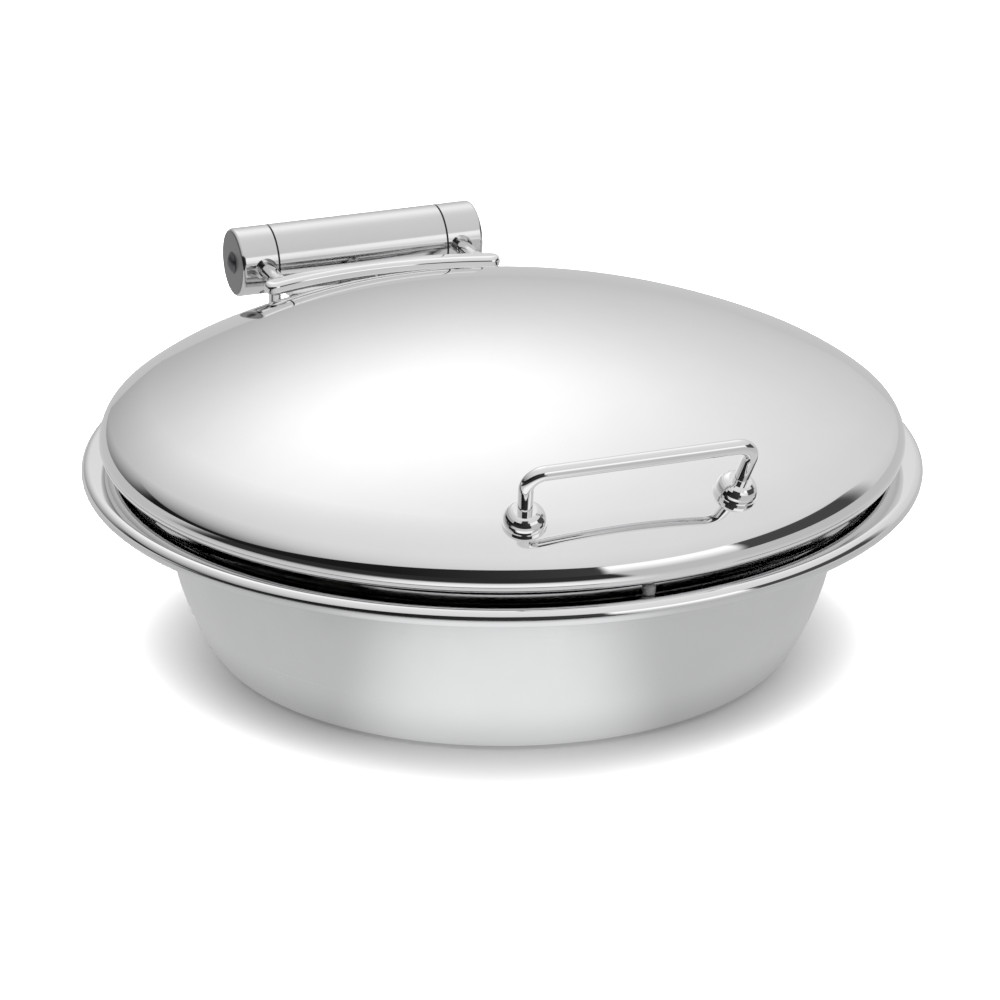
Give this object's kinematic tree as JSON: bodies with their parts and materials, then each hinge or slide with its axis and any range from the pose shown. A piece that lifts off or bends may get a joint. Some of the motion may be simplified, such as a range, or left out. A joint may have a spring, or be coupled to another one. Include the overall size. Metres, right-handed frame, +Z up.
{
  "type": "round chafing dish",
  "caption": "Low round buffet chafing dish: deep steel water pan on a flat base, drop-in food pan and a polished dome lid on a damped cylinder hinge.",
  "frame": {"origin": "centre of the underside of the base", "axes": "+Z up, -Y towards the lid handle, +Y towards the hinge, +X to the right as seen from the handle"},
  "size_m": [0.46, 0.495, 0.1911],
  "materials": {
    "satin_steel": "satin",
    "pan_steel": "satin",
    "polished_steel": "mirror polished",
    "base_steel": "dull",
    "spreader_aluminium": "rolled",
    "fastener_steel": "bright",
    "dark_steel": "darkened",
    "black_nylon": "moulded",
    "clear_silicone": "soft"
  },
  "bodies": {
    "base": {"water_pan": "satin_steel", "base_core": "spreader_aluminium", "base_cap": "base_steel", "lid_bumpers": "clear_silicone", "hinge_bracket": "satin_steel", "bracket_studs": "fastener_steel", "bracket_spacers": "fastener_steel", "bracket_washers": "fastener_steel", "bracket_nuts": "fastener_steel", "hinge_tube": "polished_steel", "tube_screws": "fastener_steel", "tube_nuts": "fastener_steel", "hinge_bushes": "black_nylon", "hinge_washers": "black_nylon", "damper_body": "dark_steel", "torsion_spring": "dark_steel"},
    "pan": {"food_pan": "pan_steel"},
    "lid": {"lid_dome": "polished_steel", "lid_handle": "polished_steel", "handle_bosses": "polished_steel", "handle_screws": "fastener_steel", "handle_washers": "fastener_steel", "lid_bar": "polished_steel", "bar_posts": "polished_steel", "hinge_arm_left": "polished_steel", "hinge_arm_right": "polished_steel", "hinge_cap_left": "polished_steel", "hinge_cap_right": "polished_steel", "hinge_shaft": "fastener_steel", "cap_screws": "dark_steel", "end_plugs": "dark_steel", "arm_grub_screws": "dark_steel"}
  },
  "joints": [
    {"name": "lid_hinge", "type": "hinge", "parent": "base", "child": "lid", "pos_m": [0, 0.245, 0.1482], "axis": [-1, 0, 0], "range_deg": [0, 90]},
    {"name": "pan_lift", "type": "slide", "parent": "base", "child": "pan", "axis": [0, 0, 1], "range_m": [0, 0.012]}
  ]
}
